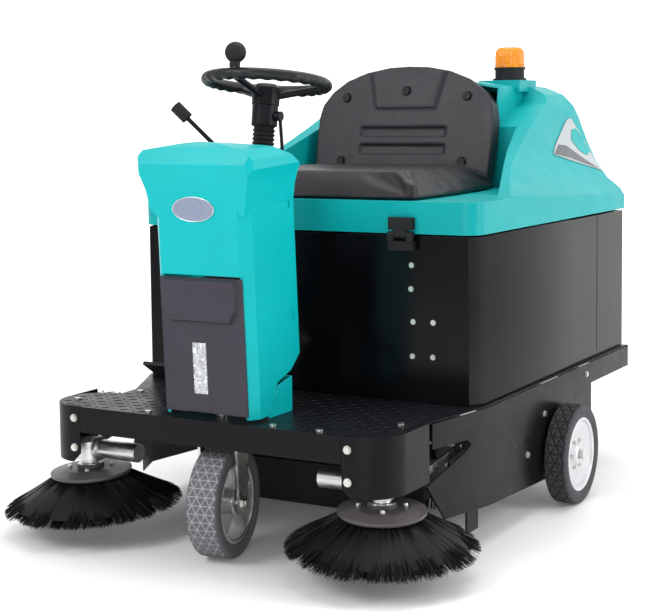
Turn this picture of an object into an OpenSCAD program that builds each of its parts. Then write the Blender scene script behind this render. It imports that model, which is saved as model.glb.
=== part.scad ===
// Ride-on floor sweeper, battery powered. Millimetres, +Z up, front towards -Y.
// The origin is on the floor, at the centre of the machine's footprint.

/* [Chassis] */
// Height of the foot deck's top face above the floor
deck_z = 321; // [318:1:324]
// Height of the folded edge round the deck
deck_edge_h = 60; // [50:1:60]
// Y of the front beam's outer face
beam_y = -655; // [-660:1:-650]
// Bend radius of the two corner guards
guard_r = 92; // [90:1:94]
// Height of the corner guards
guard_h = 131; // [120:1:135]
// Half width over the side skirts
skirt_x = 475; // [473:1:475]

/* [Body] */
// Half width of the black casing
casing_x = 460; // [456:1:460]
// How far the body's centre plane stands to the right of the dash's
body_cx = 15; // [12:1:15]
// Y of the casing's front face
casing_front_y = -258; // [-262:1:-256]
// Y of the joint between casing and hopper
casing_rear_y = 338; // [334:1:338]
// Height of the seam between casing and hood
seam_z = 707; // [704:1:707]
// Sheet thickness of the casing
sheet = 3; // [2:1:4]

/* [Wheels] */
// Radius of all three wheels
wheel_r = 125; // [124:0.5:125]
// Width of the front wheel
front_wheel_w = 76; // [70:1:80]
// Width of each rear wheel
rear_wheel_w = 58; // [54:1:58]
// Y of the front axle
front_wheel_y = -578; // [-580:1:-576]
// Y of the rear axles
rear_wheel_y = 217; // [212:1:222]
// Angle that the front wheel is turned at rest
steer_rest = 9; // [0:1:12]

/* [Side brushes] */
// X of each side brush's axis
brush_x = 390; // [386:1:392]
// Y of each side brush's axis
brush_y = -560; // [-562:1:-556]
// Radius at the bristle tips
brush_r = 215; // [205:1:216]
// Outward tilt of the brush axis
brush_out = 2; // [1:0.5:3]
// Forward tilt of the brush axis
brush_forward = 3; // [2:0.5:4]
// Height of the brush disc with the brushes lifted
disc_z = 150; // [146:1:152]

/* [Steering] */
// Backward tilt of the steering column
column_tilt = 8; // [6:1:10]
// Outer radius of the steering wheel
steer_r = 152; // [145:1:155]
// Height of the steering wheel's centre
steer_z = 1060; // [1050:1:1065]
// Y of the steering wheel's centre
steer_y = -372; // [-376:1:-368]

/* [Seat and hood] */
// Angle of the seat back from the vertical
seat_recline = 13; // [10:1:15]
// Half width of the seat back
seat_back_x = 265; // [255:1:270]
// Half width of the hood at its base
hood_x = 464; // [462:1:466]
// Forward lean of the dash
dash_lean = 3.3; // [2.5:0.1:4]

/* [Hidden] */
$fn = 48;

plate_t = 3;                                  // deck tread plate
frame_top = deck_z - plate_t;
beam_z = deck_z - deck_edge_h;                // underside of the beam and rails
guard_t = 4;
guard_cx = 360;                               // bend centre of the corner guards
guard_cy = beam_y + guard_r;
guard_rear_y = -455;
beam_half = 344;
waist_x = 362;                                // deck half width behind the right wing
tow_y1 = 770.3;                                // rear end of the tow plate
rear_y = 768;                                 // rearmost face
hopper_gap = 2;
hopper_y0 = casing_rear_y + hopper_gap;
hopper_y1 = 760;
hood_gap = 4;
hood_z = seam_z + hood_gap;
hood_front_y = casing_front_y - 4;
fork_t = 6;
fork_gap = 4;                                 // between tyre and fork leg
king_r = 15;
axle_r = 10;
run_clear = 0.05;                             // radial running clearance
arm_pivot = [440, -262, 232];                 // left side brush arm's pivot
arm_front = [430, -508, 196];
bend_y = -225;                                // where the side skirts bend inwards
main_brush_y = -20;
main_brush_z = 122;
main_brush_r = 118;
main_brush_half = 272;
hinge_x = 294;
hinge_y = hood_front_y - 12;
hinge_z = 709;
lever_pivot = [42, -444, 800];
lever_tip = [-150, -512, 1000];
pedal_pivot = [-215, -400, deck_z + 14];
dash_y0 = -640;                               // front face of the dash
dash_y1 = -440;                               // rear edge of the dash
dash_half = 124;
dash_z0 = deck_z + 6;
dash_top = 930;
step_z = 414;                                 // the shell's side edge steps up behind this height
lamp_x = -14;

// ---------- helpers ----------

// Left parts are drawn once, and the right ones are their mirror image.
module both_sides() {
    children();
    mirror([1, 0, 0]) children();
}

// A cylinder along X from x0 to x1.
module bar_x(x0, x1, r, y = 0, z = 0) {
    translate([x0, y, z]) rotate([0, 90, 0]) cylinder(r = r, h = x1 - x0);
}

// A cylinder along Y from y0 to y1.
module bar_y(y0, y1, r, x = 0, z = 0) {
    translate([x, y0, z]) rotate([-90, 0, 0]) cylinder(r = r, h = y1 - y0);
}

// A round rod between two points.
module rod(a, b, r) {
    d = b - a;
    len = norm(d);
    translate(a) rotate([0, acos(d[2] / len), atan2(d[1], d[0])]) cylinder(r = r, h = len);
}

// A box from one corner to the other.
module box(a, b) {
    translate(a) cube(b - a);
}

// A flat rectangle with round corners.
module round_rect(a, b, r) {
    translate([a[0] + r, a[1]]) square([b[0] - a[0] - 2 * r, b[1] - a[1]]);
    translate([a[0], a[1] + r]) square([b[0] - a[0], b[1] - a[1] - 2 * r]);
    for (x = [a[0] + r, b[0] - r], y = [a[1] + r, b[1] - r]) translate([x, y]) circle(r = r);
}

// A flat outline in Y and Z, pushed along X from x0 to x1.
module side_extrude(x0, x1) {
    translate([x0, 0, 0]) rotate([90, 0, 90]) linear_extrude(x1 - x0) children();
}

// A flat outline in X and Z, pushed along Y from y0 to y1.
module front_extrude(y0, y1) {
    translate([0, y1, 0]) rotate([90, 0, 0]) linear_extrude(y1 - y0) children();
}

// Places what is drawn about the body's centre plane.
module on_body() {
    translate([body_cx, 0, 0]) children();
}

// Places the dash's parts, leaning forward about their lower front edge.
module at_dash() {
    translate([0, dash_y0, dash_z0]) rotate([dash_lean, 0, 0]) translate([0, -dash_y0, -dash_z0])
        children();
}

// Places what is drawn upright at a side brush's axis, with its tilt. The origin is the disc's centre.
module at_brush() {
    translate([brush_x, brush_y, disc_z]) rotate([brush_forward, brush_out, 0]) children();
}

// Places what is drawn about the steering column, whose origin is the steering wheel's centre.
module at_column() {
    translate([0, steer_y, steer_z]) rotate([-column_tilt, 0, 0]) children();
}

// Places what is drawn about the front wheel, as it is turned at rest.
module at_front_wheel() {
    translate([0, front_wheel_y, 0]) rotate([0, 0, steer_rest]) children();
}

// ---------- chassis ----------

module deck_outline() {
    left = body_cx - skirt_x + guard_t;
    right = body_cx + skirt_x - guard_t;
    difference() {
        union() {
            polygon([
                [-guard_cx, beam_y + 10], [guard_cx, beam_y + 10], [guard_cx, guard_cy],
                [guard_cx + guard_r - guard_t, guard_cy], [guard_cx + guard_r - guard_t, guard_rear_y],
                [right, casing_front_y + 30], [right, rear_y - 4], [left, rear_y - 4],
                [left, casing_front_y + 30], [-waist_x, -410], [-guard_cx, guard_rear_y]
            ]);
            for (side = [-1, 1])
                translate([side * guard_cx, guard_cy]) circle(r = guard_r - guard_t);
        }
        translate([-600, beam_y - 90]) square([1200, 100]);
    }
}

module deck_plate() {
    color("dimgray") difference() {
        translate([0, 0, frame_top]) linear_extrude(plate_t) deck_outline();
        // hole over the king pin, and an opening under the hopper
        translate([0, front_wheel_y, 0]) cylinder(r = king_r + 3, h = 400);
        box([-290, 380, 300], [290, 690, 330]);
    }
    pedal_bracket();
}

module chassis_frame() {
    color("black") difference() {
        union() {
            // two long rails and the cross members
            for (side = [-1, 1]) {
                box([side * 320 - 15, beam_y + 10, beam_z + 2], [side * 320 + 15, 740, frame_top]);
            }
            for (y = [-645, -440, -190, 345, 700])
                box([-305, y, beam_z + 22], [305, y + 26, frame_top]);
            // plate that carries the king pin's bearing
            box([-70, -640, frame_top - 34], [70, -500, frame_top - 26]);
            translate([0, front_wheel_y, beam_z + 2]) cylinder(r = 30, h = frame_top - beam_z - 2);
            for (x = [-70, 64]) box([x, -640, frame_top - 34], [x + 6, -414, frame_top]);
            // outriggers to the skirts
            on_body() for (side = [-1, 1], y = [-150, 90, 360])
                translate([side * (skirt_x - guard_t - 72) - 72, y, beam_z + 30]) cube([144, 24, 25]);
        }
        translate([0, front_wheel_y, beam_z - 10]) cylinder(r = king_r + run_clear, h = 100);
    }
}

module front_beam() {
    color("black") box([-beam_half, beam_y, beam_z], [beam_half, beam_y + 10, deck_z]);
}

module corner_guard() {
    z0 = deck_z - guard_h;
    difference() {
        translate([0, 0, z0]) linear_extrude(guard_h) {
            intersection() {
                difference() {
                    translate([guard_cx, guard_cy]) circle(r = guard_r);
                    translate([guard_cx, guard_cy]) circle(r = guard_r - guard_t);
                }
                translate([guard_cx, beam_y - 10]) square([200, guard_cy - beam_y + 10]);
            }
            translate([beam_half + 0.5, beam_y]) square([guard_cx - beam_half - 0.5, guard_t]);
            translate([guard_cx + guard_r - guard_t, guard_cy])
                square([guard_t, guard_rear_y - guard_cy]);
        }
        // the slanted lower front corner
        translate([beam_half - 1, beam_y - 1, z0 - 1])
            front_extrude(0, 20) polygon([[0, 0], [24, 0], [0, 24]]);
    }
}

module skirt_profile() {
    polygon([
        [-448, frame_top - 0.3], [-448, 262], [-312, 258], [-296, 246], [-322, 232], [-470, 184], [-402, 98],
        [110, 74], [300, 66], [462, 66], [462, 262], [rear_y - 4, 262], [rear_y - 4, frame_top - 0.3]
    ]);
}

// The side skirt is one sheet, bent inwards ahead of the seat.
module side_skirt(bend) {
    tip_y = -475;
    inward = (bend_y - tip_y) * tan(bend);
    x = skirt_x - guard_t;
    difference() {
        intersection() {
            side_extrude(300, 500) skirt_profile();
            linear_extrude(400) polygon([
                [skirt_x, rear_y], [skirt_x, bend_y], [skirt_x - inward, tip_y], [x - inward, tip_y],
                [x, bend_y], [x, rear_y]
            ]);
        }
        bar_x(440, 500, 31, rear_wheel_y, wheel_r);
    }
}

module rear_band() {
    box([-skirt_x, rear_y - 4, 262], [skirt_x, rear_y, deck_z]);
}

module side_skirt_left() {
    color("#202022") on_body() side_skirt(8.7);
}

module side_skirt_right() {
    color("#202022") difference() {
        on_body() {
            mirror([1, 0, 0]) side_skirt(26);
            rear_band();
        }
        // cut away round the side brush and the brush arm
        translate([-brush_x, brush_y, 0]) cylinder(r = brush_r + 12, h = 150);
        box([-462, -322, 206], [-424, -240, 262]);
    }
}

// ---------- body casing and what it holds ----------

module casing_outline(t) {
    x = casing_x - t;
    y = casing_front_y + t;
    polygon([
        [-x, casing_rear_y], [-x, y + 40 - 0.4 * t], [-x + 18 - 0.4 * t, y], [x - 18 + 0.4 * t, y],
        [x, y + 40 - 0.4 * t], [x, casing_rear_y]
    ]);
}

module body_casing() {
    color("black") translate([body_cx, 0, deck_z]) difference() {
        linear_extrude(seam_z - deck_z) difference() {
            casing_outline(0);
            intersection() {
                casing_outline(sheet);
                translate([-600, -600]) square([1200, 600 + casing_rear_y - sheet]);
            }
        }
        // way through the bulkhead for the fan's air
        translate([0, casing_rear_y - 10, 300]) rotate([-90, 0, 0]) cylinder(r = 44, h = 20);
    }
}

module battery_pack() {
    color("#3a3a3d") for (x = [-262, 12], y = [-215, -20])
        box([x, y, deck_z], [x + 250, y + 180, deck_z + 232]);
}

// Button heads on the casing, hexagon heads on the guards and skirts, and screws in the deck.
casing_bolts = [[315, 639], [313, 584], [318, 508], [369, 509], [316, 428], [368, 429]];
skirt_bolts = [[8, 160], [120, 240], [420, 292]];

module hex_head(r, h) {
    cylinder(r = r, h = h, $fn = 6);
    cylinder(r = r * 1.15, h = h * 0.3);
}

module body_fasteners() {
    color("silver") {
        for (p = casing_bolts) translate([p[0], casing_front_y, p[1]]) rotate([90, 0, 0])
            difference() {
                cylinder(r = 6.5, h = 4);
                translate([0, 0, 2]) cylinder(r = 2.5, h = 3);
            }
        both_sides() for (z = [294, 225])
            translate([guard_cx, beam_y, z]) rotate([90, 0, 0]) hex_head(8, 6);
        on_body() both_sides() for (p = skirt_bolts)
            translate([skirt_x, p[0], p[1]]) rotate([0, 90, 0]) hex_head(7, 5);
        // screws that hold the tread plate down
        for (p = [[-405, -585], [-330, -440], [-165, -632], [165, -632], [405, -500], [280, -632]])
            translate([p[0], p[1], deck_z]) cylinder(r = 8, h = 4);
    }
}

// Each hinge is a pair of thick plastic leaves round one pin.
module hinge_lower_leaves() {
    color("#1c1c1e") for (side = [-1, 1]) translate([side * hinge_x, 0, 0]) {
        box([-32, hinge_y - 4, hinge_z - 36], [32, casing_front_y, hinge_z - 14]);
        difference() {
            union() for (x = [-32, 16]) {
                box([x, hinge_y - 8, hinge_z - 16], [x + 16, hinge_y + 2, hinge_z]);
                bar_x(x, x + 16, 8, hinge_y, hinge_z);
            }
            bar_x(-40, 40, 3, hinge_y, hinge_z);
        }
        bar_x(-32, 32, 3, hinge_y, hinge_z);
    }
}

module hinge_upper_leaves() {
    color("#1c1c1e") for (side = [-1, 1]) translate([side * hinge_x, 0, 0]) difference() {
        union() {
            box([-31, hinge_y - 4, hinge_z + 12], [31, hood_front_y, hinge_z + 40]);
            box([-15.5, hinge_y - 7, hinge_z], [15.5, hinge_y + 3, hinge_z + 13]);
            bar_x(-15.5, 15.5, 7.5, hinge_y, hinge_z);
        }
        bar_x(-40, 40, 3 + run_clear, hinge_y, hinge_z);
    }
}

// ---------- dash ----------

module dash_plan(t) {
    x = dash_half - t;
    polygon([
        [-x + 22, dash_y0 + t], [x - 22, dash_y0 + t], [x, dash_y0 + 26 + t], [x, dash_y1],
        [-x, dash_y1], [-x, dash_y0 + 26 + t]
    ]);
}

// The moulded front shell: an upright box, open at the back, with a visor that flares out at its top.
module dash_shell() {
    color("#00b8b8") at_dash() difference() {
        union() {
            translate([0, 0, dash_z0]) linear_extrude(860 - dash_z0) difference() {
                dash_plan(0);
                dash_plan(4);
            }
            // the flared visor
            difference() {
                intersection() {
                    front_extrude(-680, dash_y1) polygon([
                        [-98, 736], [-124, 786], [-130, 824], [-140, 856], [-157, 884], [-134, 914],
                        [-60, 925], [0, dash_top], [60, 925], [134, 914], [157, 884], [140, 856],
                        [130, 824], [124, 786], [98, 736]
                    ]);
                    side_extrude(-200, 200) polygon([
                        [-614, 736], [-640, 786], [-643, 824], [-648, 856], [-655, 884], [-640, 918],
                        [-612, dash_top], [-540, 917], [-480, 892], [dash_y1, 866], [dash_y1, 736]
                    ]);
                    translate([0, 0, 700]) linear_extrude(300) dash_plan(-26);
                }
                // hollow under the visor, and the way out for the column and the lever
                translate([0, 0, 700]) linear_extrude(156) dash_plan(4);
                box([-114, -606, 850], [114, dash_y1 - 6, 888]);
                box([-86, -560, 760], [86, dash_y1 + 1, 950]);
            }
        }
        // window for the access panel
        box([-108, dash_y0 - 1, dash_z0 - 1], [108, dash_y0 + 6, 642]);
        // shallow seat for the badge
        translate([-8, dash_y0, 786]) rotate([90, 0, 0]) linear_extrude(9) scale([2, 1]) circle(r = 27.4);
        // the step in the side edge
        side_extrude(-200, 200) polygon([
            [-580, dash_z0 - 1], [-566, 350], [-540, 392], [-480, step_z - 6], [dash_y1 + 1, 440],
            [dash_y1 + 1, dash_z0 - 1]
        ]);
        // two round recesses down each rear edge
        both_sides() for (z = [530, 780]) bar_x(dash_half - 3, dash_half + 5, 11, dash_y1 - 26, z);
    }
}

module dash_rear_cover() {
    color("#00a8a8") difference() {
        side_extrude(-dash_half + 5, dash_half - 5) polygon([
            [-572, deck_z], [-562, 350], [-536, 388], [-480, step_z - 14], [-472, step_z - 12],
            [-472, deck_z]
        ]);
        side_extrude(-dash_half + 9, dash_half - 9) polygon([
            [-590, deck_z - 1], [-590, 500], [-476, 500], [-476, deck_z - 1]
        ]);
        box([-60, -480, deck_z - 1], [60, -460, 500]);
    }
}

module dash_access_panel() {
    color("#3b3942") at_dash() difference() {
        union() {
            box([-107, dash_y0, dash_z0 + 8], [107, dash_y0 + 4, 636]);
            side_extrude(-96, 92) polygon([
                [dash_y0, 538], [dash_y0 - 10, 548], [dash_y0 - 12, 622], [dash_y0, 634]
            ]);
        }
        box([lamp_x - 18, dash_y0 - 1, 376], [lamp_x + 18, dash_y0 + 5, 492]);
    }
}

module headlamp_lens() {
    color("white") at_dash()
        box([lamp_x - 17.5, dash_y0 + 0.5, 376.5], [lamp_x + 17.5, dash_y0 + 6, 491.5]);
}

module badge_plate() {
    color("lightsteelblue") at_dash() translate([-8, dash_y0, 786]) rotate([90, 0, 0])
        linear_extrude(2) scale([2, 1]) circle(r = 27);
}

// ---------- steering column ----------

module column_tube() {
    color("#1a1a1c") difference() {
        union() {
            at_column() {
                translate([0, 0, -100]) cylinder(r = 30, h = 46);
                translate([0, 0, -620]) cylinder(r = 20, h = 525);
            }
            // ear that carries the hand lever's pivot
            box([-6, -391.6, lever_pivot[2] - 16], [54, -383, lever_pivot[2] + 16]);
            bar_y(lever_pivot[1] - 14, -384, 6, lever_pivot[0], lever_pivot[2]);
        }
        at_column() translate([0, 0, -630]) cylinder(r = axle_r + run_clear, h = 600);
    }
}

bellows_n = 12;

// The folded gaiter between the column's head and the dash.
module column_bellows() {
    color("#141416") at_column() rotate_extrude() polygon(concat(
        [[20.3, -101], [20.3, -228]],
        [for (i = [0 : bellows_n]) each [[22.5, -226 + i * 10], [26.5, -221 + i * 10]]],
        [[26.5, -101]]
    ));
}

module steering_gearbox() {
    color("#4a4b50") difference() {
        box([-48, -500, deck_z], [48, -400, deck_z + 150]);
        at_column() translate([0, 0, -700]) cylinder(r = 20.3, h = 500);
    }
}

module steering_rim() {
    color("#161618") at_column() {
        rotate_extrude($fn = 96) translate([steer_r - 14, 0]) circle(r = 14);
        // post of the spinner knob
        translate([0, 14 - steer_r, 0]) cylinder(r = 5, h = 32);
    }
}

module steering_hub() {
    color("#1c1c1f") at_column() difference() {
        union() {
            translate([0, 0, -52]) cylinder(r = 32, h = 40);
            translate([0, 0, -12]) cylinder(r1 = 32, r2 = 24, h = 8);
            translate([0, 0, -600]) cylinder(r = axle_r, h = 550);
            for (a = [30, 150, 270]) rotate([0, 0, a]) rod([26, 0, -30], [steer_r - 16, 0, -4], 8);
        }
        rotate_extrude($fn = 96) translate([steer_r - 14, 0]) circle(r = 14);
    }
}

module spinner_knob() {
    color("#222226") at_column() translate([0, -(steer_r - 14), 14.5]) difference() {
        rotate_extrude() intersection() {
            union() {
                translate([0, 33]) circle(r = 24);
                translate([0, 0]) square([12, 16]);
            }
            square([40, 80]);
        }
        translate([0, 0, -1]) cylinder(r = 5 + run_clear, h = 22);
    }
}

module column_lever() {
    color("#2a2a2c") at_column() {
        bar_x(31, 45, 11, 0, -78);
        rod([41, 0, -78], [50, 6, -160], 4);
    }
}

// ---------- front wheel ----------

module front_fork() {
    leg_x = front_wheel_w / 2 + fork_gap;
    color("#b9bcc0") at_front_wheel() {
        difference() {
            union() {
                box([-leg_x - fork_t, -32, beam_z - 8], [leg_x + fork_t, 32, beam_z - 1]);
                translate([0, 0, beam_z - 4]) cylinder(r = king_r, h = 78);
                for (side = [-1, 1]) {
                    x0 = side > 0 ? leg_x : -leg_x - fork_t;
                    side_extrude(x0, x0 + fork_t) {
                        polygon([[-32, beam_z - 2], [32, beam_z - 2], [22, wheel_r], [-22, wheel_r]]);
                        translate([0, wheel_r]) circle(r = 22);
                    }
                }
            }
            bar_x(-80, 80, axle_r, 0, wheel_r);
        }
    }
}

module front_axle() {
    leg_x = front_wheel_w / 2 + fork_gap + fork_t;
    color("silver") at_front_wheel() {
        bar_x(-leg_x - 10, leg_x + 10, axle_r, 0, wheel_r);
        for (side = [-1, 1]) translate([side * leg_x, 0, wheel_r]) rotate([0, side * 90, 0])
            cylinder(r = 15, h = 8, $fn = 6);
    }
}

// A solid tyre on a cast rim, about X, centred on its own middle.
module tyre(w) {
    rotate([0, 90, 0]) rotate_extrude($fn = 96) polygon([
        [92, -w / 2 + 3], [112, -w / 2], [120, -w / 2 + 1], [wheel_r, -w / 2 + 7], [wheel_r, w / 2 - 7],
        [120, w / 2 - 1], [112, w / 2], [92, w / 2 - 3]
    ]);
}

module rim(w, bore) {
    rotate([0, 90, 0]) rotate_extrude($fn = 96) polygon([
        [bore, -w / 2 + 2], [26, -w / 2 + 2], [30, -w / 2 + 14], [78, -w / 2 + 16], [84, -w / 2 + 3],
        [92, -w / 2 + 3], [92, w / 2 - 3], [84, w / 2 - 3], [78, w / 2 - 16], [30, w / 2 - 14],
        [26, w / 2 - 2], [bore, w / 2 - 2]
    ]);
}

module front_tyre() {
    color("#5c5d62") at_front_wheel() translate([0, 0, wheel_r]) tyre(front_wheel_w);
}

module front_rim() {
    color("silver") at_front_wheel() translate([0, 0, wheel_r]) rim(front_wheel_w, axle_r + run_clear);
}

// ---------- rear wheels ----------

rear_x = skirt_x + 7 + rear_wheel_w / 2;      // middle of a rear wheel, from the body's centre plane

module rear_axles() {
    color("silver") on_body() both_sides() {
        bar_x(400, rear_x + rear_wheel_w / 2 - 4, axle_r, rear_wheel_y, wheel_r);
        bar_x(rear_x + rear_wheel_w / 2 - 1.5, rear_x + rear_wheel_w / 2 + 5, 13, rear_wheel_y, wheel_r);
        bar_x(rear_x + rear_wheel_w / 2 - 4, rear_x + rear_wheel_w / 2 - 1.5, axle_r, rear_wheel_y, wheel_r);
    }
}

module drive_motors() {
    color("#3c3d42") on_body() both_sides() difference() {
        union() {
            bar_x(250, 464, 55, rear_wheel_y, wheel_r + 8);
            box([360, 92, wheel_r + 40], [380, rear_wheel_y + 28, beam_z + 30]);
        }
        bar_x(395, 500, axle_r, rear_wheel_y, wheel_r);
    }
}

module rear_wheel_at() {
    translate([rear_x, rear_wheel_y, wheel_r]) children();
}

// ---------- side brushes ----------

module brush_arm() {
    d = arm_front - arm_pivot;
    turn = atan2(-d[0], -d[1]);
    drop = atan2(d[2], -d[1]);
    color("#c9ccc8") difference() {
        union() {
            translate(arm_pivot) rotate([0, 0, -turn]) rotate([-drop, 0, 0])
                box([-3, -norm(d), -10], [3, 10, 10]);
            bar_x(arm_pivot[0] - 10, arm_pivot[0] + 4, 11, arm_pivot[1], arm_pivot[2]);
            // bracket that carries the gearbox
            box([brush_x + 14, arm_front[1] - 52, arm_front[2] - 11],
                [brush_x + 34, arm_front[1] + 4, arm_front[2] + 11]);
            box([brush_x + 14, arm_front[1] - 4, arm_front[2] - 11],
                [arm_front[0] + 3, arm_front[1] + 4, arm_front[2] + 11]);
        }
        bar_x(arm_pivot[0] - 40, arm_pivot[0] + 50, 5 + run_clear, arm_pivot[1], arm_pivot[2]);
        at_brush() cylinder(r = 31.3, h = 100);
    }
}

module brush_gearmotor() {
    color("#8a8d90") {
        at_brush() {
            translate([0, 0, 30]) cylinder(r = 31, h = 42);
            translate([0, 0, 19]) cylinder(r = 20, h = 12);
            cylinder(r = 7, h = 20);
        }
        bar_x(245, 368, 22, brush_y - 3, disc_z + 54);
        bar_x(356, 362, 29, brush_y - 3, disc_z + 54);
    }
}

module brush_disc() {
    color("#2b2b2e") at_brush() difference() {
        union() {
            rotate_extrude($fn = 72) polygon([
                [0, -10], [92, -10], [96, -6], [96, 0], [62, 8], [0, 8]
            ]);
            translate([0, 0, 8]) cylinder(r = 32, h = 9);
        }
        translate([0, 0, -20]) cylinder(r = 7 + run_clear, h = 60);
    }
}

// The ring of bristles is drawn as one hollow cone.
module side_bristles() {
    color("#0c0c0e") at_brush() rotate_extrude($fn = 72) polygon([
        [60, -10.3], [90, -10.3], [brush_r, -84], [brush_r - 9, -94], [130, -62], [60, -34]
    ]);
}

// ---------- main brush ----------

module main_brush_core() {
    color("silver") {
        bar_x(-main_brush_half, main_brush_half, 40, main_brush_y, main_brush_z);
        bar_x(-main_brush_half - 16, main_brush_half + 16, 12, main_brush_y, main_brush_z);
    }
}

module main_brush_bristles() {
    color("#101012") difference() {
        bar_x(-main_brush_half + 4, main_brush_half - 4, main_brush_r, main_brush_y, main_brush_z);
        bar_x(-400, 400, 40, main_brush_y, main_brush_z);
    }
}

// Arched sheet over the roller, closed at both ends by a bearing plate.
module main_brush_housing() {
    color("#18181a") difference() {
        union() {
            bar_x(-main_brush_half - 20, main_brush_half + 20, main_brush_r + 14,
                main_brush_y, main_brush_z);
            box([-main_brush_half - 20, main_brush_y - main_brush_r - 14, 60],
                [main_brush_half + 20, main_brush_y + main_brush_r + 14, main_brush_z]);
        }
        bar_x(-main_brush_half - 8, main_brush_half + 8, main_brush_r + 10, main_brush_y, main_brush_z);
        box([-main_brush_half - 8, main_brush_y - main_brush_r - 10, 0],
            [main_brush_half + 8, main_brush_y + main_brush_r + 10, main_brush_z]);
        bar_x(-400, 400, 12 + run_clear, main_brush_y, main_brush_z);
        box([-500, -500, -100], [500, 500, 60]);
        // clear of the frame above
        box([-500, -500, beam_z + 2], [500, 500, 400]);
        // throat to the hopper
        box([-280, main_brush_y + 60, 200], [280, main_brush_y + 200, 300]);
    }
}

module main_brush_motor() {
    color("#6a6c70")
        bar_x(main_brush_half + 24, main_brush_half + 130, 42, main_brush_y - 40, main_brush_z + 58);
}

// Rubber strips that close the gap to the floor round the roller.
module rubber_flaps() {
    color("#151517") {
        for (y = [main_brush_y - main_brush_r - 20, main_brush_y + main_brush_r + 15])
            box([-main_brush_half - 20, y, 14], [main_brush_half + 20, y + 5, 120]);
        on_body() box([450, -300, 40], [455, -240, 200]);
    }
}

// Shaft and bars under the front of the deck that lift the brushes.
module lift_linkage() {
    color("#a9aca8") {
        bar_x(-300, 300, 9, -300, 176);
        both_sides() {
            box([306, -306, 166], [314, -252, beam_z + 2]);
            bar_x(306, arm_pivot[0] + 4, 5, arm_pivot[1], arm_pivot[2]);
            box([120, -309, 167], [128, -291, 226]);
        }
    }
}

// ---------- hopper ----------

module hopper() {
    x = casing_x - 1;
    z0 = deck_z + 1;
    z1 = seam_z - 2;
    color("#17171a") on_body() difference() {
        box([-x, hopper_y0, z0], [x, hopper_y1, z1]);
        box([-x + 5, hopper_y0 + 5, z0 + 5], [x - 5, hopper_y1 - 5, z1 + 1]);
        // dust throat in the front wall
        box([-280, hopper_y0 - 1, z0 + 12], [280, hopper_y0 + 6, z0 + 110]);
        // shallow pull in the rear wall
        box([-90, hopper_y1 - 3, 560], [90, hopper_y1 + 1, 600]);
        // groove in each side wall
        for (side = [-1, 1]) translate([side * x, 548, z0 + 14]) box([-1, -2, 0], [1, 2, 400]);
    }
}

module dust_filter() {
    color("#d8d2c0") on_body() difference() {
        box([-260, hopper_y0 + 5, 460], [260, hopper_y0 + 45, 690]);
        for (i = [0 : 12]) box([-247 + i * 40, hopper_y0 + 20, 470], [-233 + i * 40, hopper_y0 + 46, 680]);
    }
}

// ---------- hood and seat ----------

base_top = 785;                               // top of the hood's flat part, under the cushion
hump_y = 372;                                 // front face of the hump behind the seat back
cheek_x = 300;                                // inner half width between the hump's cheeks, at the back
hood_t = 6;
beacon_p = [200, 560];                        // X and Y of the beacon
beacon_z = 1072;

module hood_plan(t) {
    x = hood_x - t;
    intersection() {
        round_rect([-x, hood_front_y + t], [x, hopper_y1 + 200], 44 - t);
        translate([-600, -600]) square([1200, 600 + hopper_y1 - t]);
    }
}

// Half of the hump's outline seen from the front, from the base up to the crown.
function hump_half(t) = [
    [hood_x - t, hood_z - 30], [hood_x - t, 748], [452 - t, 768], [412 - t, 800 - t], [378 - t, 850 - t],
    [354 - t, 900 - t], [338 - t, 950 - t], [326 - t, 1000 - t], [304 - t, 1032 - t], [262 - t, 1052 - t],
    [150, 1068 - t], [0, 1074 - t]
];

module hump_front(t) {
    half = hump_half(t);
    n = len(half) - 1;
    polygon(concat(half, [for (i = [n - 1 : -1 : 0]) [-half[i][0], half[i][1]]]));
}

// The hump's cheeks seen from the side: they sweep forward beside the cushion.
module cheek_side(t) {
    polygon([
        [-30 + 3 * t, hood_z - 30], [-30 + 3 * t, 762 - t], [50 + 2 * t, 800 - t], [140 + t, 850 - t],
        [260 + t, 900 - t], [375 + t, 948 - t], [450 + t, 982 - t], [540, 1012 - t], [600, 1090],
        [640, 1090], [715 - t, 1012 - t], [748 - t, 965 - t], [hopper_y1 - t, 905 - t],
        [hopper_y1 - t, hood_z - 30]
    ]);
}

// The hump's middle seen from the side.
module middle_side(t) {
    polygon([
        [hump_y + t, hood_z - 30], [hump_y + t, 1020 - t], [hump_y + 24 + t, 1090], [640, 1090],
        [715 - t, 1012 - t], [748 - t, 965 - t], [hopper_y1 - t, 905 - t], [hopper_y1 - t, hood_z - 30]
    ]);
}

module hood_solid(t) {
    intersection() {
        translate([0, 0, hood_z - 20]) linear_extrude(base_top - hood_z + 20 - t) hood_plan(t);
        // the base's top falls away behind the seat
        side_extrude(-600, 600) polygon([
            [-300, hood_z - 30], [-300, base_top - t], [-20, base_top - t], [hopper_y1, 752 - t],
            [hopper_y1, hood_z - 30]
        ]);
    }
    intersection() {
        front_extrude(-80, 900) hump_front(t);
        union() {
            side_extrude(-600, 600) cheek_side(t);
            side_extrude(-240 + t, 240 - t) middle_side(t);
        }
    }
}

// Room for the seat between the cheeks.
module seat_room(t) {
    x = cheek_x + t;
    translate([0, 0, base_top - t]) linear_extrude(500) polygon([
        [-x - 100, -600], [x + 100, -600], [x + 100, 0], [x + 30, 230], [x, 360], [x, hump_y + t],
        [-x, hump_y + t], [-x, 360], [-x - 30, 230], [-x - 100, 0]
    ]);
}

seat_back_foot = [0, 299, 829];

module at_seat_back() {
    translate(seat_back_foot) rotate([-seat_recline, 0, 0]) children();
}

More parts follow.
